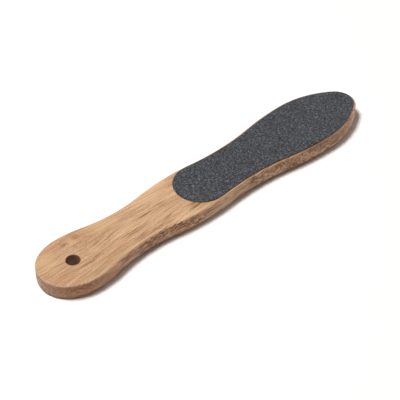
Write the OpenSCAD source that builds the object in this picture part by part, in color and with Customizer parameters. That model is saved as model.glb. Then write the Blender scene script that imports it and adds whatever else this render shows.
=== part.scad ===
// Flat wooden foot file. It is one wooden paddle, whose rounded grip has a
// hanging hole and whose blade carries a glued abrasive sheet on each face:
// coarse grit on top and fine grit underneath.
// X runs along the file from the grip to the tip, Y runs across it, and Z is
// the height above the surface that it lies on. The origin is on that surface,
// under the middle of the file.

/* [Paddle] */
// Whole length, from the end of the grip to the tip
length = 240; // [232:1:270]
// Thickness of the wood
wood_t = 9.2; // [6:0.2:14]
// Radius of the softened edges round both faces
edge_r = 0.8; // [0.4:0.1:1.8]

/* [Grip] */
// Widest width of the grip
grip_w = 38.5; // [37:0.5:42]
// Radius of the grip's round end
end_r = 18; // [14:0.5:18]
// Radius that leads from the round end to the widest place
shoulder_r = 27; // [22:1:40]
// Radius of the grip's sides after their widest place
flank_r = 75; // [55:1:95]
// Radius of the hollow waist between grip and belly
waist_r = 100; // [80:1:130]

/* [Hanging hole] */
// Diameter of the hole through the grip
hole_d = 8; // [4:0.5:11]
// Distance of the hole's centre from the end of the grip
hole_x = 21; // [16:0.5:30]
// Width of the eased rim round each mouth of the hole
rim_w = 0.4; // [0.2:0.1:0.8]

/* [Blade] */
// Distance of the belly's widest place from the end of the grip
belly_x = 104.5; // [97:0.5:112]
// Width of the belly
belly_w = 36; // [34.5:0.5:37.5]
// Radius of the belly's sides
belly_r = 150; // [130:1:200]
// Radius of the hollow neck between belly and head
neck_r = 170; // [120:1:220]
// Widest width of the head
head_w = 43; // [40:0.5:46]
// Radius of the head's sides before their widest place
back_r = 180; // [140:1:220]
// Radius of the head's sides after their widest place
front_r = 60; // [45:1:80]
// Radius of the rounded tip
tip_r = 12.5; // [9:0.5:17]

/* [Abrasive sheets] */
// Bare wood between a sheet's edge and the edge of the blade
margin = 1.3; // [0.5:0.1:3]
// How far a sheet reaches from the belly's widest place towards the grip
sheet_reach = 7.1; // [6:0.1:12]
// Thickness of the glue under each sheet
glue_t = 0.1; // [0.05:0.05:0.3]
// Thickness of each sheet's cloth backing
backing_t = 0.35; // [0.2:0.05:0.8]
// Thickness of the coarse grit on the top sheet
coarse_t = 0.35; // [0.2:0.05:0.8]
// Thickness of the fine grit on the underside's sheet
fine_t = 0.25; // [0.1:0.05:0.5]

/* [Hidden] */
$fn = 240;
// How far a cutter passes the face that it cuts
overrun = 1;
// Furthest that an outline turns in one straight step, in degrees
step_turn = 6;
// Longest straight step of an outline
step_l = 4;
// Straight steps from the wall to the face round a softened edge
round_steps = 3;

// Heights of the layers, from the fine grit that touches the table
backing_fine_z = fine_t;
glue_fine_z = backing_fine_z + backing_t;
wood_z = glue_fine_z + glue_t;
glue_coarse_z = wood_z + wood_t;
backing_coarse_z = glue_coarse_z + glue_t;
grit_coarse_z = backing_coarse_z + backing_t;

// Direction from one point to another
function heading(start, goal) = atan2(goal[1] - start[1], goal[0] - start[0]);

// How far along X the centre of a side's arc lies from the smaller round end that it leads to
function end_offset(side_r, width, small_r) = sqrt((side_r - small_r) ^ 2 - (side_r - width / 2) ^ 2);

// Centre of the hollow arc that leads from one bulge to the next along the +Y side
function hollow_centre(first, first_r, next, next_r, hollow_r) =
    let (
        gap = norm(next - first),
        reach = first_r + hollow_r,
        along = (gap ^ 2 + reach ^ 2 - (next_r + hollow_r) ^ 2) / (2 * gap),
        ahead = (next - first) / gap
    )
    first + along * ahead + sqrt(reach ^ 2 - along ^ 2) * [-ahead[1], ahead[0]];

// Centres of the outline's arcs on the +Y side, measured from the end of the grip
end_c = [end_r, 0];
grip_x = end_r + end_offset(shoulder_r, grip_w, end_r);
shoulder_c = [grip_x, grip_w / 2 - shoulder_r];
flank_c = [grip_x, grip_w / 2 - flank_r];
belly_c = [belly_x, belly_w / 2 - belly_r];
tip_c = [length - tip_r, 0];
head_x = length - tip_r - end_offset(front_r, head_w, tip_r);
front_c = [head_x, head_w / 2 - front_r];
back_c = [head_x, head_w / 2 - back_r];
waist_c = hollow_centre(flank_c, flank_r, belly_c, belly_r, waist_r);
neck_c = hollow_centre(belly_c, belly_r, back_c, back_r, neck_r);

// Directions from those centres to the places where the arcs run into each other
end_turn = heading(shoulder_c, end_c);
flank_turn = heading(flank_c, waist_c);
belly_start = heading(belly_c, waist_c);
belly_turn = heading(belly_c, neck_c);
back_start = heading(back_c, neck_c);
tip_turn = heading(front_c, tip_c);

// The sheet's round end runs on from the belly's sides, inside the margin
sheet_r = ((belly_r - margin) ^ 2 - belly_c[1] ^ 2 - sheet_reach ^ 2) / (2 * (belly_r - margin - sheet_reach));
sheet_c = [belly_x - sheet_reach + sheet_r, 0];
sheet_turn = heading(belly_c, sheet_c);

// An arc is its centre, radius, first and last direction, and 1 for a bulge or -1 for a hollow
belly_arc = [belly_c, belly_r, belly_start, belly_turn, 1];
head_arcs = [
    [neck_c, neck_r, belly_turn + 180, back_start + 180, -1],
    [back_c, back_r, back_start, 90, 1],
    [front_c, front_r, 90, tip_turn, 1],
    [tip_c, tip_r, tip_turn, 0, 1]
];
paddle_arcs = [
    [end_c, end_r, 180, end_turn, 1],
    [shoulder_c, shoulder_r, end_turn, 90, 1],
    [flank_c, flank_r, 90, flank_turn, 1],
    [waist_c, waist_r, flank_turn + 180, belly_start + 180, -1],
    belly_arc,
    each head_arcs
];

// The same arc moved into the plate by a depth
function inset(arc, depth) = [arc[0], arc[1] - arc[4] * depth, arc[2], arc[3], arc[4]];

sheet_arcs = [
    [sheet_c, sheet_r, 180, sheet_turn, 1],
    [belly_c, belly_r - margin, sheet_turn, belly_turn, 1],
    for (arc = head_arcs) inset(arc, margin)
];

// A place on an arc, as a share of the way along it
function arc_point(arc, way) =
    let (direction = arc[2] + (arc[3] - arc[2]) * way)
    arc[0] + arc[1] * [cos(direction), sin(direction)];

// Straight steps along an arc: none turns further or is longer than the limits above
function arc_steps(arc) =
    let (turn = abs(arc[3] - arc[2]))
    ceil(max(turn / step_turn, turn / 360 * 2 * PI * arc[1] / step_l));

// One side of an outline, from the end nearest the grip's end to the tip
function side_points(arcs, depth) = [
    arc_point(inset(arcs[0], depth), 0),
    for (arc = arcs, step = [1:arc_steps(arc)]) arc_point(inset(arc, depth), step / arc_steps(arc))
];

// The whole outline at a depth inside the arcs, out along the +Y side and back along the other
function outline(arcs, depth = 0) =
    let (side = side_points(arcs, depth))
    [each side, for (i = [len(side) - 2:-1:1]) [side[i][0], -side[i][1]]];

// A flat plate with square edges
module plate(arcs, thick) {
    linear_extrude(thick)
        polygon(outline(arcs));
}

// A flat plate whose edges are rounded: a skin over level outlines, from the bottom to the top
module rounded_plate(arcs, thick, round_r) {
    low_levels = [
        for (step = [0:round_steps])
            let (turn = 90 * step / round_steps)
            round_r * [1 - sin(turn), 1 - cos(turn)]
    ];
    levels = [each low_levels, for (i = [round_steps:-1:0]) [low_levels[i][0], thick - low_levels[i][1]]];
    rings = [for (level = levels) [for (p = outline(arcs, level[0])) [each p, level[1]]]];
    count = len(rings[0]);
    top = (len(levels) - 1) * count;
    walls = [
        for (ring = [0:len(levels) - 2], i = [0:count - 1])
            let (near = ring * count + i, next = ring * count + (i + 1) % count)
            [near, next, next + count, near + count]
    ];
    // Each face is closed by strips that run straight across from one side to the other
    strips = [
        for (i = [0:count / 2 - 1])
            [i, i + 1, if (i + 1 < count / 2) count - i - 1, if (i > 0) count - i]
    ];
    upper = [for (strip = strips) [for (i = strip) i + top]];
    lower = [for (strip = strips) [for (i = [len(strip) - 1:-1:0]) strip[i]]];
    polyhedron([for (ring = rings) each ring], [each walls, each upper, each lower]);
}

// Moves a piece from the end of the grip to its place on the file
module placed(z) {
    translate([-length / 2, 0, z])
        children();
}

// The hole and the eased rims of its two mouths
module hanging_hole() {
    hole_r = hole_d / 2;
    translate([hole_x, 0, -overrun])
        cylinder(h = wood_t + 2 * overrun, r = hole_r);
    for (face = [0, 1])
        translate([hole_x, 0, face * wood_t])
            mirror([0, 0, 1 - face])
                translate([0, 0, -rim_w])
                    cylinder(h = rim_w + overrun, r1 = hole_r, r2 = hole_r + rim_w + overrun);
}

module wood_paddle() {
    color("#cba47c")
        placed(wood_z)
            difference() {
                rounded_plate(paddle_arcs, wood_t, edge_r);
                hanging_hole();
            }
}

module coarse_glue() {
    color("#8a6a3c")
        placed(glue_coarse_z)
            plate(sheet_arcs, glue_t);
}

module coarse_backing() {
    color("#5a4638")
        placed(backing_coarse_z)
            plate(sheet_arcs, backing_t);
}

module coarse_grit() {
    color("#4b4c50")
        placed(grit_coarse_z)
            plate(sheet_arcs, coarse_t);
}

module fine_glue() {
    color("#8a6a3c")
        placed(glue_fine_z)
            plate(sheet_arcs, glue_t);
}

module fine_backing() {
    color("#5a4638")
        placed(backing_fine_z)
            plate(sheet_arcs, backing_t);
}

module fine_grit() {
    color("#58595d")
        placed(0)
            plate(sheet_arcs, fine_t);
}

wood_paddle();
coarse_glue();
coarse_backing();
coarse_grit();
fine_glue();
fine_backing();
fine_grit();
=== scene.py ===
"""A flat wooden foot file, dressed around its CAD frame.

The file is a hardwood paddle with a hanging hole, and a glued abrasive sheet on each face of its blade.
X runs from the grip to the tip, Y across the file and Z up from the surface that it lies on, in metres.
Sizes of the object are written in millimetres, and turned into metres where a mesh is made.
"""

import logging
import math
from dataclasses import dataclass
from enum import Enum

import bpy
import numpy as np
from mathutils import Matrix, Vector


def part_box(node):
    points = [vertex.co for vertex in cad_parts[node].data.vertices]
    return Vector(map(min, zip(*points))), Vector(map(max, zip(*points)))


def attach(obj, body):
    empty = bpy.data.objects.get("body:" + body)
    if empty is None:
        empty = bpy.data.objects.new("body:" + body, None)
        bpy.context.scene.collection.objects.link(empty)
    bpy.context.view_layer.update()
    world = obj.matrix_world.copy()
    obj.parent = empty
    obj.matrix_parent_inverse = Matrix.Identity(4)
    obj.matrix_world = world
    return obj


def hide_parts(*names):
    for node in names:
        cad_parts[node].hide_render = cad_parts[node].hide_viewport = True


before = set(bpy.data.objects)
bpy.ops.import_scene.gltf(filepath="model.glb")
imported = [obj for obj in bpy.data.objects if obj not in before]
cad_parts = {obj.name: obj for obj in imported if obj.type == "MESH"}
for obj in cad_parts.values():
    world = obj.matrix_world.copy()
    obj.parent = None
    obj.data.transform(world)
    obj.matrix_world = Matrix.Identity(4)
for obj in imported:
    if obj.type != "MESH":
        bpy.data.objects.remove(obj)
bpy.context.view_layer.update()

MM = 0.001
log = logging.getLogger("foot_file")

Colour = tuple[float, float, float, float]
Point = tuple[float, float]
Span = tuple[float, float]
Marks = dict[str, np.ndarray]

WHITE: Colour = (1.0, 1.0, 1.0, 1.0)


def linear_rgb(hex_colour: str) -> Colour:
    """Turns an sRGB hex colour into the linear values that a shader works with.

    Args:
        hex_colour: The colour as six hex digits after a hash.

    Returns:
        Red, green, blue and an alpha of 1.
    """
    srgb = np.array([int(hex_colour[i : i + 2], 16) for i in (1, 3, 5)]) / 255
    # The sRGB curve is straight near black and a power above
    linear = np.where(srgb <= 0.04045, srgb / 12.92, ((srgb + 0.055) / 1.055) ** 2.4)
    return (*linear.tolist(), 1.0)


def add_node(
    tree: bpy.types.NodeTree,
    kind: str,
    inputs: dict[str | int, object] | None = None,
    **settings: object,
) -> bpy.types.Node:
    """Adds a node with its settings, and links or sets its inputs.

    Args:
        tree: The node tree that gets the node.
        kind: The node's type name in Blender.
        inputs: A socket to link from, or a value, for each input's name or number.
        **settings: Attributes of the node itself.

    Returns:
        The new node.
    """
    node = tree.nodes.new(kind)
    for name, value in settings.items():
        setattr(node, name, value)
    for key, value in (inputs or {}).items():
        if isinstance(value, bpy.types.NodeSocket):
            tree.links.new(value, node.inputs[key])
        else:
            node.inputs[key].default_value = value
    return node


def new_material(name: str) -> tuple[bpy.types.Material, bpy.types.NodeTree]:
    """Makes a material with no nodes.

    Args:
        name: The material's name.

    Returns:
        The material and its empty node tree.
    """
    material = bpy.data.materials.new(name)
    material.use_nodes = True
    material.node_tree.nodes.clear()
    return material, material.node_tree


@dataclass(frozen=True)
class Arc:
    """One arc of an outline's +Y side, in millimetres from the end of the grip.

    It runs from the first direction to the last, in radians, as seen from its centre. A bulge of 1 has
    the wood on the arc's inside, and a bulge of -1 has it outside.
    """

    centre: Point
    radius: float
    first: float
    last: float
    bulge: int

    def length(self) -> float:
        """Length along the arc."""
        return abs(self.last - self.first) * self.radius

    def inset(self, depth: float) -> "Arc":
        """The same arc moved into the wood by a depth."""
        return Arc(self.centre, self.radius - self.bulge * depth, self.first, self.last, self.bulge)


def heading(start: Point, goal: Point) -> float:
    """Direction from one point to another, in radians."""
    return math.atan2(goal[1] - start[1], goal[0] - start[0])


def hollow_centre(first: Point, reach: float, second: Point, second_reach: float) -> Point:
    """Centre of the hollow arc that leads from one bulge to the next on the +Y side.

    Args:
        first: Centre of the bulge nearer the grip.
        reach: That bulge's radius plus the hollow's.
        second: Centre of the other bulge.
        second_reach: The other bulge's radius plus the hollow's.

    Returns:
        The point that lies at both distances, on the outer side.
    """
    gap = math.dist(first, second)
    ahead = ((second[0] - first[0]) / gap, (second[1] - first[1]) / gap)
    along = (gap**2 + reach**2 - second_reach**2) / (2 * gap)
    out = math.sqrt(reach**2 - along**2)
    return (
        first[0] + along * ahead[0] - out * ahead[1],
        first[1] + along * ahead[1] + out * ahead[0],
    )


@dataclass(frozen=True)
class PaddleShape:
    """The sizes of the paddle's outline, in millimetres, and the arcs that they give.

    The round end, the sides and the tip are bulges. The waist and the neck are hollows. Each arc runs
    into the next with no corner, because the line through their centres passes the point where they
    meet.
    """

    length: float
    head_w: float
    grip_w: float = 38.5
    end_r: float = 18.0
    shoulder_r: float = 27.0
    flank_r: float = 75.0
    waist_r: float = 100.0
    belly_x: float = 104.5
    belly_w: float = 36.0
    belly_r: float = 150.0
    neck_r: float = 170.0
    back_r: float = 180.0
    front_r: float = 60.0
    tip_r: float = 12.5
    margin: float = 1.3
    sheet_reach: float = 7.1

    @staticmethod
    def end_offset(side_r: float, width: float, small_r: float) -> float:
        """How far along X a side's centre lies from the smaller round end that it leads to."""
        return math.sqrt((side_r - small_r) ** 2 - (side_r - width / 2) ** 2)

    def belly_centre(self) -> Point:
        """Centre of the belly's arc."""
        return (self.belly_x, self.belly_w / 2 - self.belly_r)

    def head_x(self) -> float:
        """Place of the head's widest part."""
        return self.length - self.tip_r - self.end_offset(self.front_r, self.head_w, self.tip_r)

    def back_centre(self) -> Point:
        """Centre of the head's side before its widest part."""
        return (self.head_x(), self.head_w / 2 - self.back_r)

    def neck_centre(self) -> Point:
        """Centre of the hollow between belly and head."""
        reach = self.belly_r + self.neck_r
        return hollow_centre(self.belly_centre(), reach, self.back_centre(), self.back_r + self.neck_r)

    def head_arcs(self) -> list[Arc]:
        """Works out the arcs from the neck to the tip.

        Returns:
            The arcs in order.
        """
        tip = (self.length - self.tip_r, 0.0)
        back = self.back_centre()
        front = (self.head_x(), self.head_w / 2 - self.front_r)
        neck = self.neck_centre()
        belly_turn = heading(self.belly_centre(), neck)
        back_turn = heading(back, neck)
        tip_turn = heading(front, tip)
        return [
            Arc(neck, self.neck_r, belly_turn + math.pi, back_turn + math.pi, -1),
            Arc(back, self.back_r, back_turn, math.pi / 2, 1),
            Arc(front, self.front_r, math.pi / 2, tip_turn, 1),
            Arc(tip, self.tip_r, tip_turn, 0.0, 1),
        ]

    def wood_arcs(self) -> list[Arc]:
        """Works out the wood's +Y side, from the end of the grip to the tip.

        Returns:
            The arcs in order.
        """
        end = (self.end_r, 0.0)
        grip_x = self.end_r + self.end_offset(self.shoulder_r, self.grip_w, self.end_r)
        shoulder = (grip_x, self.grip_w / 2 - self.shoulder_r)
        flank = (grip_x, self.grip_w / 2 - self.flank_r)
        belly = self.belly_centre()
        waist = hollow_centre(flank, self.flank_r + self.waist_r, belly, self.belly_r + self.waist_r)
        end_turn = heading(shoulder, end)
        flank_turn = heading(flank, waist)
        waist_turn = heading(belly, waist)
        belly_turn = heading(belly, self.neck_centre())
        return [
            Arc(end, self.end_r, math.pi, end_turn, 1),
            Arc(shoulder, self.shoulder_r, end_turn, math.pi / 2, 1),
            Arc(flank, self.flank_r, math.pi / 2, flank_turn, 1),
            Arc(waist, self.waist_r, flank_turn + math.pi, waist_turn + math.pi, -1),
            Arc(belly, self.belly_r, waist_turn, belly_turn, 1),
            *self.head_arcs(),
        ]

    def sheet_arcs(self) -> list[Arc]:
        """Works out a sheet's +Y side: a round nose, and then the wood's arcs less the margin.

        The nose is centred on the middle line, so far on that it runs into the belly's side.

        Returns:
            The arcs in order.
        """
        belly = self.belly_centre()
        reach = self.belly_r - self.margin
        nose_r = (reach**2 - belly[1] ** 2 - self.sheet_reach**2) / (2 * (reach - self.sheet_reach))
        nose = (self.belly_x - self.sheet_reach + nose_r, 0.0)
        nose_turn = heading(belly, nose)
        belly_turn = heading(belly, self.neck_centre())
        return [
            Arc(nose, nose_r, math.pi, nose_turn, 1),
            Arc(belly, reach, nose_turn, belly_turn, 1),
            *(arc.inset(self.margin) for arc in self.head_arcs()),
        ]


@dataclass(frozen=True)
class Outline:
    """A closed outline whose -Y side mirrors its +Y side, sampled at even steps along the arcs."""

    arcs: list[Arc]
    step: float

    def side(self) -> tuple[np.ndarray, np.ndarray]:
        """Samples the +Y side, from the grip's side to the tip.

        The arcs' lengths are summed, and each sample's way along its own arc gives its direction from
        the arc's centre. The normal is that direction, turned round on a hollow.

        Returns:
            The points and their outward normals, one row each.
        """
        ends = np.cumsum([arc.length() for arc in self.arcs])
        count = int(round(ends[-1] / self.step))
        along = np.linspace(0.0, ends[-1], count + 1)
        which = np.minimum(np.searchsorted(ends, along, side="right"), len(self.arcs) - 1)
        starts = np.concatenate([[0.0], ends[:-1]])
        rows = [[*arc.centre, arc.radius, arc.first, arc.last, arc.bulge] for arc in self.arcs]
        centre_x, centre_y, radius, first, last, bulge = np.array(rows)[which].T
        way = (along - starts[which]) / (ends - starts)[which]
        turn = first + (last - first) * way
        out = np.stack([np.cos(turn), np.sin(turn)], axis=1)
        points = np.stack([centre_x, centre_y], axis=1) + radius[:, None] * out
        points[[0, -1], 1] = 0.0
        return points, out * bulge[:, None]

    def loop(self) -> tuple[np.ndarray, np.ndarray]:
        """Samples the whole outline, out along the +Y side and back along the other.

        Returns:
            The points and their outward normals, one row each.
        """
        points, normals = self.side()
        flip = np.array([1.0, -1.0])
        return (
            np.concatenate([points, points[-2:0:-1] * flip]),
            np.concatenate([normals, normals[-2:0:-1] * flip]),
        )


class Skin:
    """A closed mesh of a flat plate: rings round its outline, and a grid over each face.

    Vertices are numbered ring by ring, and then come the inner vertices of the two face grids.
    """

    def __init__(self, outline: Outline, profile: np.ndarray, upper: int, lower: int) -> None:
        """Works out the vertices of the rings and the two faces.

        Args:
            outline: The plate's outline.
            profile: One row for each ring: its depth inside the outline and its height.
            upper: Strips across the upper face, from one side to the other.
            lower: Strips across the lower face.
        """
        points, normals = outline.loop()
        self.count = len(points)
        self.half = self.count // 2
        depth, height = profile[:, 0], profile[:, 1]
        ring_xy = points[None] - normals[None] * depth[:, None, None]
        ring_z = np.broadcast_to(height[:, None, None], (*ring_xy.shape[:2], 1))
        self.rings = np.concatenate([ring_xy, ring_z], axis=2)
        self.upper = self._face_points(self.rings[-1], upper)
        self.lower = self._face_points(self.rings[0], lower)

    def _face_points(self, ring: np.ndarray, strips: int) -> np.ndarray:
        """Places a face's inner points: each row of the grid runs straight across, from side to side.

        Args:
            ring: The ring that the face closes.
            strips: Strips across the face.

        Returns:
            The points, by row, by place in the row and by axis.
        """
        share = np.linspace(1.0, -1.0, strips + 1)[1:-1]
        side = ring[1 : self.half]
        grid = np.repeat(side[:, None, :], len(share), axis=1)
        grid[:, :, 1] = side[:, None, 1] * share
        return grid

    def vertices(self) -> np.ndarray:
        """All vertices, one row each."""
        return np.concatenate([part.reshape(-1, 3) for part in (self.rings, self.upper, self.lower)])

    def _face_polygons(self, ring: int, first: int, inner: np.ndarray, turned: bool) -> list[list[int]]:
        """Closes one face with quads in rows, and with triangles at its two ends.

        Args:
            ring: Number of the ring that the face closes.
            first: Number of the face's first inner vertex.
            inner: The face's inner points.
            turned: Whether the face looks down.

        Returns:
            The faces' vertex numbers.
        """
        start = ring * self.count
        near = start + np.arange(1, self.half)
        far = start + self.count - np.arange(1, self.half)
        middle = first + np.arange(inner.shape[0] * inner.shape[1]).reshape(inner.shape[:2])
        grid = np.concatenate([near[:, None], middle, far[:, None]], axis=1)
        corners = [grid[:-1, :-1], grid[:-1, 1:], grid[1:, 1:], grid[1:, :-1]]
        quads = np.stack(corners, axis=-1).reshape(-1, 4)
        strips = grid.shape[1] - 1
        head = np.stack([np.full(strips, start), grid[0, 1:], grid[0, :-1]], axis=1)
        tail = np.stack([np.full(strips, start + self.half), grid[-1, :-1], grid[-1, 1:]], axis=1)
        way = -1 if turned else 1
        return [*quads[:, ::way].tolist(), *head[:, ::way].tolist(), *tail[:, ::way].tolist()]

    def polygons(self) -> list[list[int]]:
        """Numbers the corners of the walls between the rings, and of the two faces.

        Returns:
            Each face's vertex numbers, anticlockwise seen from outside.
        """
        rings = np.arange(len(self.rings) * self.count).reshape(len(self.rings), self.count)
        nxt = np.roll(rings, -1, axis=1)
        walls = np.stack([rings[:-1], rings[1:], nxt[1:], nxt[:-1]], axis=-1).reshape(-1, 4)
        first_upper = rings.size
        first_lower = first_upper + self.upper.shape[0] * self.upper.shape[1]
        return [
            *walls.tolist(),
            *self._face_polygons(len(self.rings) - 1, first_upper, self.upper, False),
            *self._face_polygons(0, first_lower, self.lower, True),
        ]


def mesh_object(
    name: str, vertices_mm: np.ndarray, faces: list[list[int]], smooth: bool
) -> bpy.types.Object:
    """Puts a mesh into the scene, its place in its vertices.

    Args:
        name: The object's name.
        vertices_mm: One row for each vertex, in millimetres.
        faces: Vertex numbers of each face.
        smooth: Whether its faces are shaded smooth.

    Returns:
        The new object.
    """
    mesh = bpy.data.meshes.new(name)
    mesh.from_pydata((vertices_mm * MM).tolist(), [], faces)
    mesh.polygons.foreach_set("use_smooth", np.full(len(mesh.polygons), smooth))
    mesh.update()
    piece = bpy.data.objects.new(name, mesh)
    bpy.context.scene.collection.objects.link(piece)
    return piece


def give_finish(piece: bpy.types.Object, material: bpy.types.Material) -> None:
    """Gives a piece one material all over."""
    piece.data.materials.clear()
    piece.data.materials.append(material)


def stand_in(piece: bpy.types.Object, node: str) -> None:
    """Puts a new piece on the file's body, in the place of a CAD node.

    Args:
        piece: The new piece.
        node: The CAD node that it stands for.
    """
    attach(piece, "root")
    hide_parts(node)


def node_heights(node: str) -> Span:
    """Lowest and highest point of a CAD node, in millimetres."""
    low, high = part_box(node)
    return low[2] / MM, high[2] / MM


def set_attribute(piece: bpy.types.Object, name: str, values: np.ndarray) -> None:
    """Stores a number or a vector for each vertex of a piece, for its material to read.

    Args:
        piece: The piece.
        name: The attribute's name.
        values: One number or one row of three for each vertex.
    """
    kind, key = ("FLOAT_VECTOR", "vector") if values.ndim == 2 else ("FLOAT", "value")
    attribute = piece.data.attributes.new(name, kind, "POINT")
    attribute.data.foreach_set(key, values.astype(np.float32).ravel())


class Laying(Enum):
    """How a colour goes on the wood: over the last one, or multiplied in to darken it, for stains and for
    painted shade.
    """

    OVER = "MIX"
    DARKEN = "MULTIPLY"


@dataclass(frozen=True)
class GrainLayer:
    """One layer of the wood's figure, which shows where noise drawn out along the grain is high.

    The noise is one half on average. Its features are along_mm long and across_mm wide. The colour
    starts to show where the noise passes low and is at its most from high on. A mark names one of the
    board's attributes and keeps the layer to the places where that is above nothing. The shift, in
    features, lets each layer start at a place of its own in the noise.
    """

    colour: str
    along_mm: float
    across_mm: float
    low: float
    high: float
    most: float
    detail: float = 1.0
    mark: str = ""
    shift: Point = (0.37, 2.3)

    def share(self, tree: bpy.types.NodeTree, grain: bpy.types.NodeSocket) -> bpy.types.NodeSocket:
        """Works out how much of the layer shows at each place.

        Args:
            tree: The material's node tree.
            grain: The place along and across the grain, in millimetres.

        Returns:
            The share, from 0 to the layer's most.
        """
        scale = (1 / self.along_mm, 1 / self.across_mm, 1 / self.across_mm)
        along, across = self.along_mm * self.shift[0], self.across_mm * self.shift[1]
        start = (along, across, self.along_mm + self.across_mm)
        move = {"Vector": grain, "Scale": scale, "Location": start}
        place = add_node(tree, "ShaderNodeMapping", move).outputs[0]
        spread = {"Vector": place, "Scale": 1.0, "Detail": self.detail}
        noise = add_node(tree, "ShaderNodeTexNoise", spread).outputs[0]
        span = {"Value": noise, "From Min": self.low, "From Max": self.high, "To Max": self.most}
        shown = add_node(tree, "ShaderNodeMapRange", span).outputs[0]
        if self.mark:
            mark = add_node(tree, "ShaderNodeAttribute", attribute_name=self.mark)
            kept = {0: shown, 1: mark.outputs["Fac"]}
            shown = add_node(tree, "ShaderNodeMath", kept, operation="MULTIPLY").outputs[0]
        return shown

    def lay(
        self, tree: bpy.types.NodeTree, grain: bpy.types.NodeSocket, under: bpy.types.NodeSocket | Colour
    ) -> bpy.types.NodeSocket:
        """Lays the layer over what is there.

        Args:
            tree: The material's node tree.
            grain: The place along and across the grain, in millimetres.
            under: The colour that is there.

        Returns:
            The new colour.
        """
        inputs = {0: self.share(tree, grain), 6: under, 7: linear_rgb(self.colour)}
        return add_node(tree, "ShaderNodeMix", inputs, data_type="RGBA").outputs[2]


@dataclass(frozen=True)
class SurfaceTone:
    """A tone on one kind of the board's surfaces, such as its sawn walls, or light or shade painted
    there.
    """

    mark: str
    colour: str
    most: float
    laying: Laying

    def lay(self, tree: bpy.types.NodeTree, under: bpy.types.NodeSocket) -> bpy.types.NodeSocket:
        """Lays the tone over what is there, as far as the board's attribute says.

        Args:
            tree: The material's node tree.
            under: The colour that is there.

        Returns:
            The new colour.
        """
        mark = add_node(tree, "ShaderNodeAttribute", attribute_name=self.mark)
        kept = {0: mark.outputs["Fac"], 1: self.most}
        share = add_node(tree, "ShaderNodeMath", kept, operation="MULTIPLY").outputs[0]
        inputs = {0: share, 6: under, 7: linear_rgb(self.colour)}
        mixed = add_node(tree, "ShaderNodeMix", inputs, data_type="RGBA", blend_type=self.laying.value)
        return mixed.outputs[2]


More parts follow.
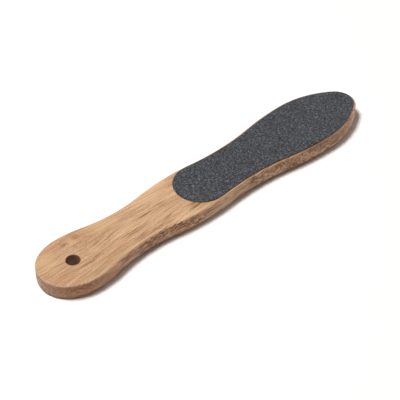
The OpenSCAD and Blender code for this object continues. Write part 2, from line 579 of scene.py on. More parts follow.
@dataclass(frozen=True)
class OiledHardwood:
    """Close-grained tan hardwood, sawn along the grain, sanded and thinly oiled.

    To the eye: soft golden and pinkish clouds, fine fibres, and short dark pores in clusters. The sanded
    grip's edges are paler, with a painted highlight along them. The sawn walls are browner, with torn and
    scorched streaks. Painted shade darkens them most at three quarters of their height, and painted light
    makes them paler low down, high on the belly, and paler and greyer where they face along the board.
    A band of painted shade runs along their lower edge. The upper edge beside the sheet is darker, and
    the bore is darker from the drill's burnishing and from painted shade in the hole.
    The real pores are about 0.1 mm wide, too fine to show, so they are drawn about 0.5 mm wide.
    """

    ground: str = "#dfb58d"
    figure: tuple[GrainLayer, ...] = (
        # Pinkish clouds
        GrainLayer("#d2a27b", 38.0, 13.0, 0.35, 0.65, 1.0),
        # Brighter wood from the waist on
        GrainLayer("#f6cda2", 30.0, 9.0, 0.2, 0.5, 0.35, mark="inward"),
        # Broad bands of later wood
        GrainLayer("#b88c66", 70.0, 3.4, 0.45, 0.75, 0.6, 2.0),
        # Fibres
        GrainLayer("#a27049", 24.0, 1.0, 0.44, 0.7, 0.55, 2.0),
        # Fine speckle of cut fibres
        GrainLayer("#8b5c37", 0.8, 0.55, 0.45, 0.72, 0.6),
        # Pale flecks
        GrainLayer("#f4d6b4", 16.0, 0.9, 0.55, 0.72, 0.3),
        # Smoky figure beside the knots above the hole
        GrainLayer("#8f6a40", 3.0, 1.2, 0.5, 0.64, 0.36, 2.0, "smudge"),
        # Two pin knots
        GrainLayer("#7a522c", 1.1, 0.9, 0.4, 0.58, 0.95, 2.0, "knot"),
    )
    tones: tuple[SurfaceTone, ...] = (
        SurfaceTone("sapwood", "#e8c596", 0.45, Laying.OVER),
        # Sanded paleness and a painted highlight along the softened edges
        SurfaceTone("worn_and_highlight", "#e0bf9c", 0.45, Laying.OVER),
        # Browner sawn walls, with painted shade deepest at three quarters of their height
        SurfaceTone("wall", "#e3b98d", 1.0, Laying.DARKEN),
        SurfaceTone("burnt", "#efd8cc", 1.0, Laying.DARKEN),
        # Painted light, paler and greyer, on the walls that face along the board
        SurfaceTone("painted_end_light", "#c3a992", 0.55, Laying.OVER),
        # Painted light in a pale band low on the walls
        SurfaceTone("painted_bounce_light", "#e6cfb8", 0.45, Laying.OVER),
        # Painted light high on the walls of the belly
        SurfaceTone("painted_upper_light", "#f4bf8b", 0.85, Laying.OVER),
        # Darker along the upper edge beside the sheet
        SurfaceTone("darker_by_sheet", "#a8a4b3", 1.0, Laying.DARKEN),
        # Painted shade along the lower edge of the walls
        SurfaceTone("painted_contact_shade", "#d4c0b4", 1.0, Laying.DARKEN),
    )
    sawn: tuple[GrainLayer, ...] = (
        # Long scorch marks
        GrainLayer("#b4693f", 26.0, 5.0, 0.48, 0.7, 0.4, 2.0, "sawn"),
        # Fine lines where the cutter crossed the grain
        GrainLayer("#7c4526", 9.0, 0.8, 0.46, 0.66, 0.54, 2.0, "sawn"),
        # Dark torn fibres
        GrainLayer("#6b340b", 4.2, 0.7, 0.52, 0.58, 1.0, 1.0, "torn"),
        # Chatter marks, which run up the wall
        GrainLayer("#6b3712", 1.5, 1.6, 0.55, 0.6, 0.6, 1.0, "chatter"),
    )
    pores: GrainLayer = GrainLayer("#7f502c", 12.0, 0.7, 0.47, 0.66, 0.76, 2.0, "porous")
    # Clusters that the pores keep to, with no colour of their own
    clusters: GrainLayer = GrainLayer("", 28.0, 5.5, 0.35, 0.62, 0.85)
    # The bore, darker from the drill's burnishing and with painted shade in the hole
    bore_burnish_and_shade: SurfaceTone = SurfaceTone("bore", "#97745f", 0.9, Laying.OVER)
    roughness: float = 0.52
    ior: float = 1.45
    pore_depth_mm: float = 0.08
    pore_relief: float = 0.5

    def build(self) -> bpy.types.Material:
        """Makes the material.

        Returns:
            The material.
        """
        material, tree = new_material("oiled_hardwood")
        grain = add_node(tree, "ShaderNodeAttribute", attribute_name="grain").outputs["Vector"]
        colour = linear_rgb(self.ground)
        for layer in self.figure:
            colour = layer.lay(tree, grain, colour)
        for tone in self.tones:
            colour = tone.lay(tree, colour)
        for layer in self.sawn:
            colour = layer.lay(tree, grain, colour)
        crowd = {0: self.pores.share(tree, grain), 1: self.clusters.share(tree, grain)}
        pores = add_node(tree, "ShaderNodeMath", crowd, operation="MULTIPLY").outputs[0]
        inputs = {0: pores, 6: colour, 7: linear_rgb(self.pores.colour)}
        colour = add_node(tree, "ShaderNodeMix", inputs, data_type="RGBA").outputs[2]
        colour = self.bore_burnish_and_shade.lay(tree, colour)
        relief = {"Height": pores, "Strength": self.pore_relief, "Distance": self.pore_depth_mm * MM}
        bump = add_node(tree, "ShaderNodeBump", relief, invert=True).outputs[0]
        skin = {"Base Color": colour, "Roughness": self.roughness, "IOR": self.ior, "Normal": bump}
        shader = add_node(tree, "ShaderNodeBsdfPrincipled", skin).outputs[0]
        add_node(tree, "ShaderNodeOutputMaterial", {"Surface": shader})
        return material


@dataclass(frozen=True)
class GritInResin:
    """Silicon carbide grains held in dark resin.

    To the eye: charcoal grey with a fine speckle, in slightly lighter and darker patches, and with
    facets that glint. The pits between the grains swallow part of the resin's gloss. Each vertex has a
    shade from 0 to 1, and the patches push it up or down. It runs from the resin's colour to the
    grain's, and the brightest shades, over the glint's span, turn to the glint's.
    """

    name: str
    resin: str
    grain: str
    glint: str
    patch_mm: float = 1.1
    patch_detail: float = 2.0
    patch_span: Span = (0.3, 0.7)
    patch_shade: float = 0.38
    glint_span: Span = (0.9, 1.1)
    roughness: float = 0.4
    gloss: float = 0.3

    def build(self) -> bpy.types.Material:
        """Makes the material.

        Returns:
            The material.
        """
        material, tree = new_material(self.name)
        own = add_node(tree, "ShaderNodeAttribute", attribute_name="grain_shade").outputs["Fac"]
        place = add_node(tree, "ShaderNodeTexCoord").outputs["Object"]
        spread = {"Vector": place, "Scale": 1 / (self.patch_mm * MM), "Detail": self.patch_detail}
        patch = add_node(tree, "ShaderNodeTexNoise", spread).outputs[0]
        low, high = self.patch_span
        swing = {"To Min": -self.patch_shade, "To Max": self.patch_shade}
        span = {"Value": patch, "From Min": low, "From Max": high, **swing}
        lift = add_node(tree, "ShaderNodeMapRange", span).outputs[0]
        shade = add_node(tree, "ShaderNodeMath", {0: own, 1: lift}, operation="ADD").outputs[0]
        start, full = self.glint_span
        body = add_node(tree, "ShaderNodeMapRange", {"Value": shade, "From Max": start}).outputs[0]
        bright = {"Value": shade, "From Min": start, "From Max": full}
        glint = add_node(tree, "ShaderNodeMapRange", bright).outputs[0]
        inputs = {0: body, 6: linear_rgb(self.resin), 7: linear_rgb(self.grain)}
        grains = add_node(tree, "ShaderNodeMix", inputs, data_type="RGBA").outputs[2]
        inputs = {0: glint, 6: grains, 7: linear_rgb(self.glint)}
        colour = add_node(tree, "ShaderNodeMix", inputs, data_type="RGBA").outputs[2]
        skin = {"Base Color": colour, "Roughness": self.roughness, "Specular IOR Level": self.gloss}
        shader = add_node(tree, "ShaderNodeBsdfPrincipled", skin).outputs[0]
        add_node(tree, "ShaderNodeOutputMaterial", {"Surface": shader})
        return material


@dataclass(frozen=True)
class SizedCloth:
    """Cotton cloth stiffened with brown resin.

    To the eye: only its cut edge shows, as a dark brown line of thread ends.
    """

    thread: str = "#4a3a30"
    gap: str = "#2b2420"
    thread_mm: float = 0.3
    roughness: float = 0.85

    def build(self) -> bpy.types.Material:
        """Makes the material.

        Returns:
            The material.
        """
        material, tree = new_material("resin_sized_cloth")
        place = add_node(tree, "ShaderNodeTexCoord").outputs["Object"]
        spread = {"Vector": place, "Scale": 1 / (self.thread_mm * MM)}
        threads = add_node(tree, "ShaderNodeTexVoronoi", spread, feature="F1").outputs[0]
        inputs = {0: threads, 6: linear_rgb(self.thread), 7: linear_rgb(self.gap)}
        colour = add_node(tree, "ShaderNodeMix", inputs, data_type="RGBA").outputs[2]
        skin = {"Base Color": colour, "Roughness": self.roughness}
        shader = add_node(tree, "ShaderNodeBsdfPrincipled", skin).outputs[0]
        add_node(tree, "ShaderNodeOutputMaterial", {"Surface": shader})
        return material


@dataclass(frozen=True)
class DriedGlue:
    """Contact glue, rolled on and pressed out.

    To the eye: an amber line under the cloth, cloudy where it holds air.
    """

    amber: str = "#8a6a3c"
    cloudy: str = "#b09468"
    cloud_mm: float = 1.5
    cloud_detail: float = 2.0
    cloud_span: Span = (0.45, 0.65)
    roughness: float = 0.35
    ior: float = 1.5

    def build(self) -> bpy.types.Material:
        """Makes the material.

        Returns:
            The material.
        """
        material, tree = new_material("dried_contact_glue")
        place = add_node(tree, "ShaderNodeTexCoord").outputs["Object"]
        spread = {"Vector": place, "Scale": 1 / (self.cloud_mm * MM), "Detail": self.cloud_detail}
        clouds = add_node(tree, "ShaderNodeTexNoise", spread).outputs[0]
        low, high = self.cloud_span
        span = {"Value": clouds, "From Min": low, "From Max": high}
        shown = add_node(tree, "ShaderNodeMapRange", span).outputs[0]
        inputs = {0: shown, 6: linear_rgb(self.amber), 7: linear_rgb(self.cloudy)}
        colour = add_node(tree, "ShaderNodeMix", inputs, data_type="RGBA").outputs[2]
        skin = {"Base Color": colour, "Roughness": self.roughness, "IOR": self.ior}
        shader = add_node(tree, "ShaderNodeBsdfPrincipled", skin).outputs[0]
        add_node(tree, "ShaderNodeOutputMaterial", {"Surface": shader})
        return material


@dataclass(frozen=True)
class Trend:
    """A strength that changes along a line, straight from each given place to the next.

    Each point is a place and the strength there. Before the first and after the last it is level.
    """

    points: tuple[Point, ...]

    def at(self, where: np.ndarray) -> np.ndarray:
        """The strength at each place."""
        places, strengths = zip(*self.points)
        return np.interp(where, places, strengths)


@dataclass(frozen=True)
class Sway:
    """A slow wave in the run of the grain.

    It is push_mm times the sine of x / along_mm + y / across_mm + phase.
    """

    push_mm: float
    along_mm: float
    across_mm: float
    phase: float

    def at(self, x: np.ndarray, y: np.ndarray) -> np.ndarray:
        """How far the wave moves the grain across the board at each place."""
        return self.push_mm * np.sin(x / self.along_mm + y / self.across_mm + self.phase)


@dataclass(frozen=True)
class WoodFigure:
    """How the board's own figure lies in it: the run of its grain, its knots, pores and paler wood.

    Places are in millimetres from the end of the grip, along the board and across it. Each patch of
    sapwood is its middle and how far it reaches along and across. The bare faces fade out under the
    sheets, as bare_along says. Towards their sides they are brighter by bright_bare, and they have
    fewer pores by the shares fewer_across and fewer_along.
    """

    fan_from: Point = (50.0, 3.7)
    fan: float = 0.006
    sways: tuple[Sway, ...] = (Sway(0.5, 15.0, 17.0, 0.0), Sway(0.16, 5.5, -8.0, 1.3))
    swirl: Point = (34.0, 8.0)
    swirl_reach: Point = (15.0, 9.0)
    swirl_push: float = 0.35
    knots: tuple[Point, ...] = ((24.6, 12.6), (32.8, 13.3))
    knot_reach: Point = (1.8, 1.8)
    sapwood: tuple[tuple[Point, Point], ...] = (
        ((9.0, 8.0), (8.0, 8.0)),
        ((28.7, 13.0), (2.0, 2.6)),
        ((60.0, -2.5), (13.0, 3.0)),
        ((48.0, 13.0), (11.0, 4.0)),
        ((50.0, -15.5), (18.0, 3.0)),
        ((93.0, -14.5), (4.0, 4.5)),
        ((84.0, 12.0), (12.0, 4.0)),
    )
    bare_along: Trend = Trend(((96.0, 1.0), (102.0, 0.0)))
    bright_along: Trend = Trend(((40.0, 0.0), (95.0, 1.0)))
    bright_across: Trend = Trend(((-16.0, 2.2), (-9.0, 1.3), (0.0, 0.9), (9.0, 2.4)))
    bright_bare: Trend = Trend(((-16.0, 1.2), (-9.0, 0.0), (0.0, 0.0), (9.0, 1.2)))
    pores_along: Trend = Trend(((0.0, 0.5), (30.0, 0.9), (62.0, 1.2), (84.0, 1.7), (95.0, 1.3)))
    pores_across: Trend = Trend(((-10.0, 2.1), (4.0, 0.9)))
    fewer_along: Trend = Trend(((82.0, 0.0), (92.0, 0.4)))
    fewer_across: Trend = Trend(((-15.5, 0.6), (-11.0, 0.0), (4.0, 0.0), (11.0, 0.8)))

    @staticmethod
    def nearness(place: np.ndarray, middle: Point, reach: Point) -> np.ndarray:
        """How near each vertex is to a point, as a bell curve that is 1 over it.

        Args:
            place: Each vertex from the end of the grip and the lower face, in millimetres.
            middle: The point.
            reach: How far the bell reaches along the board and across it.

        Returns:
            One number for each vertex.
        """
        away = (place[:, :2] - middle) / reach
        return np.exp(-(away**2).sum(axis=1))

    def grain(self, place: np.ndarray) -> np.ndarray:
        """Works out each vertex's place along and across the grain.

        The place across grows with distance from a middle line and faster towards the blade, so the
        lines draw together there. Two slow waves sway them, and in the swirl they are pushed apart.

        Args:
            place: Each vertex from the end of the grip and the lower face, in millimetres.

        Returns:
            One row for each vertex: its place along the grain, its place across it and its height.
        """
        x, y, z = place.T
        across = (y - self.fan_from[1]) * (1 + self.fan * (x - self.fan_from[0]))
        across += sum(sway.at(x, y) for sway in self.sways)
        swirl = self.nearness(place, self.swirl, self.swirl_reach)
        across -= self.swirl_push * (y - self.swirl[1]) * swirl
        return np.stack([x, across, z], axis=1)

    def marks(self, place: np.ndarray, upper: np.ndarray, edge: np.ndarray) -> Marks:
        """Works out the grain, and how strongly each part of the figure shows at each vertex.

        inward is the brighter wood and porous the crowd of pores. Both grow from the grip to the sheet.
        sapwood is the paler patches, smudge is the smoky figure over the swirl and knot is the pin
        knots, all three on the upper half only. What belongs to a bare face ends halfway round its edge.

        Args:
            place: Each vertex from the end of the grip and the lower face, in millimetres.
            upper: Whether each vertex is in the board's upper half.
            edge: How far round a softened edge each vertex is, from 0 on a face to 1 on the wall.

        Returns:
            The values of each attribute, by its name.
        """
        x, y, _ = place.T
        bare = (1 - np.clip(2 * edge, 0.0, 1.0)) * self.bare_along.at(x)
        bright = self.bright_across.at(y) + bare * self.bright_bare.at(y)
        across = self.pores_across.at(y) * (1 - bare * self.fewer_across.at(y))
        along = self.pores_along.at(x) * (1 - bare * self.fewer_along.at(x))
        pale = np.sum([self.nearness(place, middle, reach) for middle, reach in self.sapwood], axis=0)
        knot = np.sum([self.nearness(place, middle, self.knot_reach) for middle in self.knots], axis=0)
        return {
            "grain": self.grain(place),
            "inward": bright * self.bright_along.at(x),
            "porous": across * along,
            "sapwood": pale * upper * bare,
            "smudge": self.nearness(place, self.swirl, self.swirl_reach) * upper,
            "knot": knot * upper,
        }


@dataclass(frozen=True)
class WearAndPaintedLight:
    """What sawing, sanding and drilling have left on the board's walls, edges and bore, and the light and
    shade painted on them.

    A trend whose name ends in _x runs along the board, in millimetres from the end of the grip, and the
    burns end at burnt_to. One that ends in _up runs from 0 at the lower face to 1 at the upper one, and
    contact_shade_z runs up in millimetres.
    """

    dark_x: Trend = Trend((
        (4.0, 0.8), (14.0, 0.4), (26.0, 0.5), (40.0, 0.15), (60.0, 0.0),
        (148.0, 0.0), (165.0, 0.4), (185.0, 0.2), (222.0, 0.9), (236.0, 0.4),
    ))
    # Painted shade up the wall: most at three quarters of its height, little near the lower face
    dark_up: Trend = Trend(((0.0, 0.0), (0.3, 0.25), (0.74, 1.0), (0.93, 0.3)))
    # Painted light high on the wall, strongest on the belly
    upper_light_x: Trend = Trend((
        (24.0, 0.0), (34.0, 0.9), (50.0, 0.8), (84.0, 1.0), (96.0, 1.2),
        (120.0, 0.8), (134.0, 0.8), (150.0, 0.6), (180.0, 0.2), (205.0, 0.0),
    ))
    upper_light_up: Trend = Trend(((0.4, 0.2), (0.85, 1.0)))
    torn_x: Trend = Trend((
        (38.0, 0.35), (56.0, 1.0), (88.0, 1.0), (104.0, 0.35), (130.0, 0.6), (150.0, 0.5),
    ))
    torn_up: Trend = Trend(((0.3, 0.0), (0.6, 0.7), (0.85, 1.0), (0.95, 0.2)))
    # Painted light in a band low on the wall, where the floor lights it
    bounce_light_x: Trend = Trend((
        (16.0, 0.1), (30.0, 0.7), (60.0, 2.3), (80.0, 0.9), (120.0, 1.9),
        (150.0, 1.1), (180.0, 1.2), (215.0, 1.0), (230.0, 2.6),
    ))
    bounce_light_up: Trend = Trend(((0.1, 0.0), (0.22, 1.0), (0.4, 0.8), (0.7, 0.0)))
    chatter_x: Trend = Trend(((132.0, 0.0), (150.0, 1.0), (196.0, 1.0), (210.0, 0.0)))
    # Sanded paleness and a painted highlight on the grip's edges, fading out on the blade
    worn_highlight_x: Trend = Trend(((110.0, 1.0), (130.0, 0.0)))
    # Darker along the upper edge beside the sheet
    by_sheet_x: Trend = Trend((
        (100.0, 0.0), (118.0, 0.4), (150.0, 0.25), (172.0, 0.5), (195.0, 0.9), (222.0, 0.8), (236.0, 0.0),
    ))
    by_sheet_up: Trend = Trend(((0.84, 0.0), (0.98, 1.0)))
    # Painted shade along the lower edge, next to the floor
    contact_shade_x: Trend = Trend(((92.0, 1.0), (108.0, 0.2), (132.0, 0.2), (145.0, 1.0)))
    contact_shade_z: Trend = Trend(((0.9, 1.0), (1.6, 0.0)))
    burnt_to: float = 120.0

    def marks(
        self, place: np.ndarray, up: np.ndarray, edge: np.ndarray, facing: np.ndarray, bore: np.ndarray
    ) -> Marks:
        """Works out how strongly each mark of sawing, sanding and drilling, and each painted light and
        shade, shows at each vertex.

        sawn is 1 over the wall from halfway round its softened edges. wall is its darker tone and painted
        shade, deepest at three quarters of its height and past the neck, and fresh is painted light, high
        on the wall of the belly. torn is where the cutter tore most, near the upper face of the waist,
        and chatter is where it chattered, before the head. painted_end_light is how squarely a wall faces
        along the board, and lays paler, greyer painted light there, and burnt is where the cutter turned
        the grip's
        corners: it peaks at 1 where the wall turns from side to end. scuffed is a band of painted light
        low on the wall, and worn peaks halfway round a softened edge of the grip, sanded paler and with a
        painted highlight. dusty is darker along the upper edge beside the sheet, and grimy is painted
        shade along the lower edge. bore is 1 in the hole.

        Args:
            place: Each vertex from the end of the grip and the lower face, in millimetres.
            up: Each vertex's height, from 0 at the lower face to 1 at the upper one.
            edge: How far round a softened edge each vertex is, from 0 on a face to 1 on the wall.
            facing: How squarely each vertex faces along the board, from 0 to 1.
            bore: Whether each vertex is inside the hole.

        Returns:
            The values of each attribute, by its name.
        """
        x, _, z = place.T
        sawn = np.clip(2 * edge - 1, 0.0, 1.0)
        return {
            "sawn": sawn,
            # Browner tone and painted shade on the walls
            "wall": sawn * self.dark_x.at(x) * self.dark_up.at(up),
            "torn": sawn * self.torn_x.at(x) * (1 - facing) * self.torn_up.at(up),
            # Painted light high on the walls
            "painted_upper_light": sawn * self.upper_light_x.at(x) * self.upper_light_up.at(up),
            # Painted light low on the walls
            "painted_bounce_light": sawn * self.bounce_light_x.at(x) * self.bounce_light_up.at(up),
            "chatter": sawn * self.chatter_x.at(x),
            # Painted light on the walls that face along the board
            "painted_end_light": sawn * facing**2,
            "burnt": sawn * 4 * facing * (1 - facing) * (x < self.burnt_to),
            # Sanded paleness and a painted highlight, most halfway round a softened edge
            "worn_and_highlight": np.sin(math.pi * edge) * ~bore * self.worn_highlight_x.at(x),
            # Darker along the upper edge beside the sheet
            "darker_by_sheet": self.by_sheet_x.at(x) * self.by_sheet_up.at(up),
            # Painted shade along the lower edge
            "painted_contact_shade": sawn * self.contact_shade_x.at(x) * self.contact_shade_z.at(z),
            "bore": bore.astype(float),
        }


@dataclass
class Paddle:
    """The wooden paddle: one board with softened edges and a hanging hole.

    The share rim_bore_share of the hole's eased rims takes the bore's tone, as the bore does: darker from
    the drill's burnishing, and painted shade in the hole. A vertex nearer to a face than on_face is part
    of that face. Each face has a ring of vertices face_rim inside its softened edge, so that the shading
    turns at the edge alone.
    """

    shape: PaddleShape
    thickness: float
    base_z: float
    wood: OiledHardwood = OiledHardwood()
    figure: WoodFigure = WoodFigure()
    wear_and_light: WearAndPaintedLight = WearAndPaintedLight()
    edge_r: float = 0.8
    hole_r: float = 4.0
    hole_x: float = 21.0
    rim_w: float = 0.4
    rim_bore_share: float = 0.6
    on_face: float = 0.01
    face_rim: float = 0.3
    overrun: float = 1.0
    step: float = 1.0
    strips: int = 44
    round_steps: int = 5
    wall_steps: int = 12
    hole_steps: int = 96

    def _profile(self) -> np.ndarray:
        """The rings from the lower face to the upper one: a quarter circle, the wall, a quarter circle.

        Returns:
            One row for each ring: its depth inside the outline and its height.
        """
        turn = np.linspace(0.0, math.pi / 2, self.round_steps + 1)
        low = self.edge_r * np.stack([1 - np.sin(turn), 1 - np.cos(turn)], axis=1)
        wall_z = np.linspace(self.edge_r, self.thickness - self.edge_r, self.wall_steps + 1)[1:-1]
        wall = np.stack([np.zeros_like(wall_z), wall_z], axis=1)
        high = low[::-1] * [1, -1] + [0, self.thickness]
        inner = np.array([[self.face_rim, 0.0]])
        return np.concatenate([low[:1] + inner, low, wall, high, high[-1:] + inner])

    def _cutter(self) -> bpy.types.Object:
        """The hole as a solid: a straight bore that flares at each mouth by a quarter circle.

        The profile, a radius and a height for each ring, is turned round the hole's axis.

        Returns:
            The solid that is cut out of the board.
        """
        turn = np.linspace(0.0, math.pi / 2, self.round_steps + 1)
        flare_r = self.hole_r + self.rim_w * (1 - np.cos(turn))
        flare = np.stack([flare_r, self.rim_w * (np.sin(turn) - 1)], axis=1)
        high = flare + [0, self.thickness]
        low = flare[::-1] * [1, -1]
        beyond = self.hole_r + self.rim_w
        ends = np.array([[beyond, -self.overrun], [beyond, self.thickness + self.overrun]])
        profile = np.concatenate([ends[:1], low, high, ends[1:]])
        turns = np.linspace(0.0, 2 * math.pi, self.hole_steps, endpoint=False)
        ring = np.stack([np.cos(turns), np.sin(turns)], axis=1)
        xy = profile[:, None, :1] * ring[None]
        z = np.broadcast_to(profile[:, None, 1:], (len(profile), len(ring), 1))
        vertices = np.concatenate([xy, z], axis=2).reshape(-1, 3)
        vertices += [self.hole_x - self.shape.length / 2, 0.0, self.base_z]
        numbers = np.arange(len(vertices)).reshape(len(profile), -1)
        nxt = np.roll(numbers, -1, axis=1)
        walls = np.stack([numbers[:-1], nxt[:-1], nxt[1:], numbers[1:]], axis=-1).reshape(-1, 4)
        faces = [*walls.tolist(), numbers[0, ::-1].tolist(), numbers[-1].tolist()]
        return mesh_object("hole_cutter", vertices, faces, True)

    def _drilled_board(self) -> bpy.types.Object:
        """The board with its hole cut through it.

        Returns:
            The board, bare.
        """
        outline = Outline(self.shape.wood_arcs(), self.step)
        skin = Skin(outline, self._profile(), self.strips, self.strips)
        vertices = skin.vertices() + [-self.shape.length / 2, 0.0, self.base_z]
        board = mesh_object("wood_board", vertices, skin.polygons(), True)
        cutter = self._cutter()
        cut = board.modifiers.new("hanging_hole", "BOOLEAN")
        cut.object = cutter
        cut.solver = "EXACT"
        graph = bpy.context.evaluated_depsgraph_get()
        mesh = bpy.data.meshes.new_from_object(board.evaluated_get(graph))
        board.modifiers.clear()
        board.data = mesh
        bpy.data.objects.remove(cutter)
        mesh.polygons.foreach_set("use_smooth", np.full(len(mesh.polygons), True))
        return board

    def _mark(self, board: bpy.types.Object) -> None:
        """Stores the figure's marks, those of sawing, sanding and drilling, and the painted light and
        shade on the board, for its material to read.

        Args:
            board: The board.
        """
        mesh = board.data
        place = np.empty(len(mesh.vertices) * 3)
        mesh.vertices.foreach_get("co", place)
        place = place.reshape(-1, 3) / MM + [self.shape.length / 2, 0.0, -self.base_z]
        normal = np.empty(len(mesh.vertices) * 3)
        mesh.vertex_normals.foreach_get("vector", normal)
        facing = np.abs(normal.reshape(-1, 3)[:, 0])
        x, y, z = place.T
        up = z / self.thickness
        into = np.minimum(z, self.thickness - z)
        edge = np.clip(into / self.edge_r, 0.0, 1.0)
        # How far the bore's tone reaches: the drill's burnishing, with painted shade in the hole
        bore_tone_r = self.hole_r + self.rim_bore_share * self.rim_w
        bore = (np.hypot(x - self.hole_x, y) < bore_tone_r) & (into > self.on_face)
        wear_and_light = self.wear_and_light.marks(place, up, edge, facing, bore)
        figure = self.figure.marks(place, up > 0.5, edge)
        for name, values in (wear_and_light | figure).items():
            set_attribute(board, name, values)

    def build(self) -> list[bpy.types.Object]:
        """Makes the board, marks it and dresses it.

        Returns:
            The finished board.
        """
        board = self._drilled_board()
        self._mark(board)
        give_finish(board, self.wood.build())
        stand_in(board, "wood_paddle")
        return [board]


class Side(Enum):
    """The face of the blade that a sheet is glued to. Its value is the way the grit points along Z."""

    TOP = 1
    UNDERSIDE = -1


@dataclass
class AbrasiveSheet:
    """The grit of one abrasive sheet: a bed of resin with crystals that stand in it.

    The real grains are about 0.2 mm on the coarse sheet and 0.1 mm on the fine one, too fine to show,
    so they are drawn about two and a half times as coarse. The bed's height and relief and the
    crystals' tops are shares of the grit's depth, the low edge a share of the bed's height, and the
    crystals' sizes shares of the grain's half.
    """

    name: str
    node: str
    slot: str
    finish: GritInResin
    shape: PaddleShape
    side: Side
    base_z: float
    tip_z: float
    grain_mm: float
    grains: int
    seed: int
    step: float = 0.42
    strips: int = 96
    edge_slope: float = 0.06
    edge_share: float = 0.6
    bed_share: float = 0.35
    relief_share: float = 0.4
    bed_shade: float = 0.15
    bed_speckle: float = 0.5
    sizes: Span = (0.6, 1.15)
    tops: Span = (0.72, 1.0)
    flatness: float = 0.5
    sunk_to_mm: float = 0.02

    def _bed(self) -> tuple[np.ndarray, list[list[int]], np.ndarray]:
        """The resin bed: a plate whose face is rough, each vertex at a height of its own.

        The heights are squares of even random numbers, so low ground is common and peaks are rare.

        Returns:
            Its vertices, its faces and a shade for each vertex.
        """
        deep = abs(self.tip_z - self.base_z)
        bed = deep * self.bed_share
        profile = np.array([[0.0, 0.0], [0.0, bed * self.edge_share], [self.edge_slope, bed]])
        skin = Skin(Outline(self.shape.sheet_arcs(), self.step), profile, self.strips, 1)
        rng = np.random.default_rng(self.seed)
        skin.upper[:, :, 2] += deep * self.relief_share * rng.random(skin.upper.shape[:2]) ** 2
        vertices = skin.vertices()
        shade = self.bed_shade + self.bed_speckle * rng.random(len(vertices))
        return vertices, skin.polygons(), shade

    def _grain_places(self, rng: np.random.Generator) -> np.ndarray:
        """Scatters the grains evenly over the sheet, a grain's half inside its edge.

        Args:
            rng: The source of random numbers.

        Returns:
            One row of X and Y for each grain.
        """
        side, _ = Outline(self.shape.sheet_arcs(), self.step).side()
        keep = self.grain_mm / 2
        # Some places fall outside the sheet's edge, so twice as many are tried
        tries = self.grains * 2
        x = rng.uniform(side[0, 0] + keep, side[-1, 0] - keep, tries)
        y = rng.uniform(-1, 1, tries) * self.shape.head_w / 2
        inside = np.abs(y) < np.interp(x, side[:, 0], side[:, 1]) - keep
        return np.stack([x, y], axis=1)[inside][: self.grains]

    def _crystals(self) -> tuple[np.ndarray, np.ndarray, np.ndarray]:
        """The standing grains: octahedra of uneven axes, each turned at random and sunk in the bed.

        Six points on the axes are stretched, turned by the Q of a random matrix, and flattened.

        Returns:
            Their vertices, their triangles and a shade for each vertex.
        """
        rng = np.random.default_rng(self.seed + 1)
        places = self._grain_places(rng)
        count = len(places)
        axes = np.concatenate([np.eye(3), -np.eye(3)])
        size = self.grain_mm / 2 * rng.uniform(*self.sizes, (count, len(axes), 1))
        turn, _ = np.linalg.qr(rng.normal(size=(count, 3, 3)))
        turn *= np.sign(np.linalg.det(turn))[:, None, None]
        local = (axes[None] * size) @ turn * [1, 1, self.flatness]
        top = abs(self.tip_z - self.base_z) * rng.uniform(*self.tops, count)
        height = top - local[:, :, 2].max(axis=1)
        vertices = local + np.concatenate([places, height[:, None]], axis=1)[:, None]
        vertices[:, :, 2] = np.maximum(vertices[:, :, 2], self.sunk_to_mm)
        corners = np.array(
            [[0, 1, 2], [1, 3, 2], [3, 4, 2], [4, 0, 2], [1, 0, 5], [3, 1, 5], [4, 3, 5], [0, 4, 5]]
        )
        triangles = (corners[None] + len(axes) * np.arange(count)[:, None, None]).reshape(-1, 3)
        return vertices.reshape(-1, 3), triangles, np.repeat(rng.random(count), len(axes))

    def build(self) -> list[bpy.types.Object]:
        """Joins the bed and the crystals in one piece on its face of the blade, and dresses it.

        Returns:
            The finished piece.
        """
        bed, faces, bed_shade = self._bed()
        crystals, triangles, crystal_shade = self._crystals()
        faces += (triangles + len(bed)).tolist()
        vertices = np.concatenate([bed, crystals])
        way = self.side.value
        vertices = vertices * [1, 1, way] + [-self.shape.length / 2, 0.0, self.base_z]
        piece = mesh_object(self.name, vertices, faces, False)
        if self.side is Side.UNDERSIDE:
            piece.data.flip_normals()
        set_attribute(piece, "grain_shade", np.concatenate([bed_shade, crystal_shade]))
        give_finish(piece, self.finish.build())
        stand_in(piece, self.node)
        return [piece]


@dataclass
class SheetLayers:
    """The cloth backing and the glue film under the grit of each sheet, as the CAD made them."""

    cloth: SizedCloth = SizedCloth()
    glue: DriedGlue = DriedGlue()
    sheets: tuple[str, ...] = ("coarse", "fine")

    def build(self) -> list[bpy.types.Object]:
        """Gives the backings and the films their finishes.

        Returns:
            The dressed CAD nodes.
        """
        backings = [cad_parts[f"{sheet}_backing"] for sheet in self.sheets]
        films = [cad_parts[f"{sheet}_glue"] for sheet in self.sheets]
        for pieces, material in ((backings, self.cloth.build()), (films, self.glue.build())):
            for piece in pieces:
                give_finish(piece, material)
        return [*backings, *films]


@dataclass(frozen=True)
class Lamp:
    """A square soft light that faces the middle of the file."""

    name: str
    place_mm: tuple[float, float, float]
    size_mm: float
    power: float

    def build(self) -> None:
        """Puts the light into the scene."""
        lamp = bpy.data.lights.new(self.name, "AREA")
        lamp.size = self.size_mm * MM
        lamp.energy = self.power
        light = bpy.data.objects.new(self.name, lamp)
        light.location = Vector(self.place_mm) * MM
        light.rotation_euler = (-light.location).to_track_quat("-Z", "Y").to_euler()
        bpy.context.scene.collection.objects.link(light)


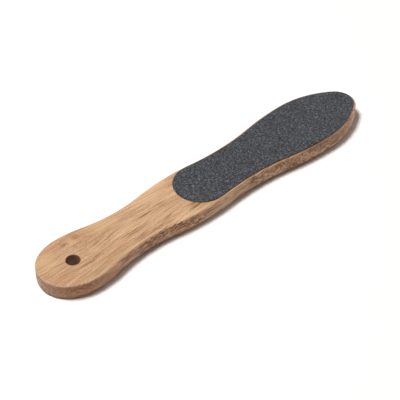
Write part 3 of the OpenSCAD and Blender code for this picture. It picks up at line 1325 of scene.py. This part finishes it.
@dataclass
class Studio:
    """White floor, soft lights and the camera that sees the file as the photograph does.

    The floor keeps the shadow as far as shadow_mm from its middle, and is plain white from white_mm on.
    Where it is seen it is floor_gain times as pale as where it only lights the file, so that it looks
    white. The camera sees as far as sight_m.
    """

    aim_mm: tuple[float, float, float] = (-8.7, -2.0, 0.0)
    distance_mm: float = 693.2
    azimuth_deg: float = -42.34
    elevation_deg: float = 41.75
    focal_px: float = 1198.2
    frame_px: float = 400.0
    sensor_mm: float = 36.0
    sight_m: float = 20.0
    floor_mm: float = 6000.0
    floor_colour: str = "#f2f2f2"
    floor_gain: float = 1.25
    shadow_mm: float = 250.0
    white_mm: float = 400.0
    world_light: float = 0.11
    world_colour: str = "#ffeedf"
    lamps: tuple[Lamp, ...] = (
        Lamp("key", (-760.0, 720.0, 2810.0), 840.0, 78.8),
        Lamp("fill", (2910.0, -280.0, 350.0), 900.0, 24.0),
    )

    @staticmethod
    def _seen(tree: bpy.types.NodeTree) -> bpy.types.NodeSocket:
        """Tells where a surface is seen, straight or by gloss or through glass.

        Args:
            tree: The node tree of the floor or the world.

        Returns:
            1 on camera, glossy and transmission rays, and 0 on the rays that light the file.
        """
        path = add_node(tree, "ShaderNodeLightPath")
        rays = {0: path.outputs["Is Camera Ray"], 1: path.outputs["Is Glossy Ray"]}
        seen = add_node(tree, "ShaderNodeMath", rays, operation="MAXIMUM").outputs[0]
        rays = {0: seen, 1: path.outputs["Is Transmission Ray"]}
        return add_node(tree, "ShaderNodeMath", rays, operation="MAXIMUM").outputs[0]

    def _floor(self) -> None:
        """Lays a wide floor that keeps the file's shadow near it and shows plain white further out."""
        corners = np.array([[-1, -1, 0], [1, -1, 0], [1, 1, 0], [-1, 1, 0]]) * self.floor_mm / 2
        floor = mesh_object("floor", corners, [[0, 1, 2, 3]], False)
        material, tree = new_material("white_floor")
        plain = linear_rgb(self.floor_colour)
        bright = (*(value * self.floor_gain for value in plain[:3]), 1.0)
        seen = self._seen(tree)
        inputs = {0: seen, 6: plain, 7: bright}
        colour = add_node(tree, "ShaderNodeMix", inputs, data_type="RGBA").outputs[2]
        near = add_node(tree, "ShaderNodeBsdfDiffuse", {"Color": colour}).outputs[0]
        white = add_node(tree, "ShaderNodeEmission", {"Color": WHITE}).outputs[0]
        place = add_node(tree, "ShaderNodeTexCoord").outputs["Object"]
        away = add_node(tree, "ShaderNodeVectorMath", {0: place}, operation="LENGTH").outputs["Value"]
        span = {"From Min": self.shadow_mm * MM, "From Max": self.white_mm * MM, "To Max": seen}
        shown = add_node(tree, "ShaderNodeMapRange", {"Value": away, **span}).outputs[0]
        shader = add_node(tree, "ShaderNodeMixShader", {0: shown, 1: near, 2: white}).outputs[0]
        add_node(tree, "ShaderNodeOutputMaterial", {"Surface": shader})
        floor.data.materials.append(material)

    def _world(self) -> None:
        """Sets even warm light from all round, white where the world is seen."""
        world = bpy.data.worlds.new("studio")
        bpy.context.scene.world = world
        world.use_nodes = True
        tree = world.node_tree
        tree.nodes.clear()
        seen = self._seen(tree)
        inputs = {"Value": seen, "To Min": self.world_light, "To Max": 1.0}
        strength = add_node(tree, "ShaderNodeMapRange", inputs).outputs[0]
        inputs = {0: seen, 6: linear_rgb(self.world_colour), 7: WHITE}
        colour = add_node(tree, "ShaderNodeMix", inputs, data_type="RGBA").outputs[2]
        light = {"Color": colour, "Strength": strength}
        background = add_node(tree, "ShaderNodeBackground", light).outputs[0]
        add_node(tree, "ShaderNodeOutputWorld", {"Surface": background})

    def _camera(self) -> None:
        """Puts the camera on its line through the aim point."""
        azimuth = math.radians(self.azimuth_deg)
        elevation = math.radians(self.elevation_deg)
        flat = math.cos(elevation)
        back = Vector((math.sin(azimuth) * flat, -math.cos(azimuth) * flat, math.sin(elevation)))
        lens = bpy.data.cameras.new("camera")
        lens.sensor_width = self.sensor_mm
        lens.lens = self.focal_px / self.frame_px * self.sensor_mm
        lens.clip_end = self.sight_m
        camera = bpy.data.objects.new("camera", lens)
        camera.location = (Vector(self.aim_mm) + back * self.distance_mm) * MM
        camera.rotation_euler = back.to_track_quat("Z", "Y").to_euler()
        bpy.context.scene.collection.objects.link(camera)
        bpy.context.scene.camera = camera

    def build(self) -> None:
        """Sets the whole studio up."""
        self._floor()
        self._world()
        for lamp in self.lamps:
            lamp.build()
        self._camera()
        bpy.context.scene.view_settings.view_transform = "Standard"


def main() -> None:
    """Builds the file's pieces in order, reports each one, and sets up the studio."""
    low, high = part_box("wood_paddle")
    shape = PaddleShape(length=(high[0] - low[0]) / MM, head_w=(high[1] - low[1]) / MM)
    wood_low, wood_high = node_heights("wood_paddle")
    coarse_low, coarse_high = node_heights("coarse_grit")
    fine_low, fine_high = node_heights("fine_grit")
    assemblies = (
        Paddle(shape, wood_high - wood_low, wood_low),
        AbrasiveSheet(
            name="coarse_grit_bed",
            node="coarse_grit",
            slot="coarse_abrasive",
            finish=GritInResin("coarse_silicon_carbide", "#08090d", "#585a60", "#b0b3ba"),
            shape=shape,
            side=Side.TOP,
            base_z=coarse_low,
            tip_z=coarse_high,
            grain_mm=0.52,
            grains=14000,
            seed=11,
        ),
        AbrasiveSheet(
            name="fine_grit_bed",
            node="fine_grit",
            slot="fine_abrasive",
            finish=GritInResin("fine_silicon_carbide", "#3a3b3f", "#66686c", "#a0a2a6"),
            shape=shape,
            side=Side.UNDERSIDE,
            base_z=fine_high,
            tip_z=fine_low,
            grain_mm=0.28,
            grains=9000,
            seed=23,
        ),
        SheetLayers(),
    )
    for assembly in assemblies:
        for piece in assembly.build():
            mesh = piece.data
            log.info("%s: %d faces in %s", piece.name, len(mesh.polygons), mesh.materials[0].name)
    Studio().build()


if __name__ == "__main__":
    logging.basicConfig(level=logging.INFO, format="%(name)s: %(message)s")
    main()
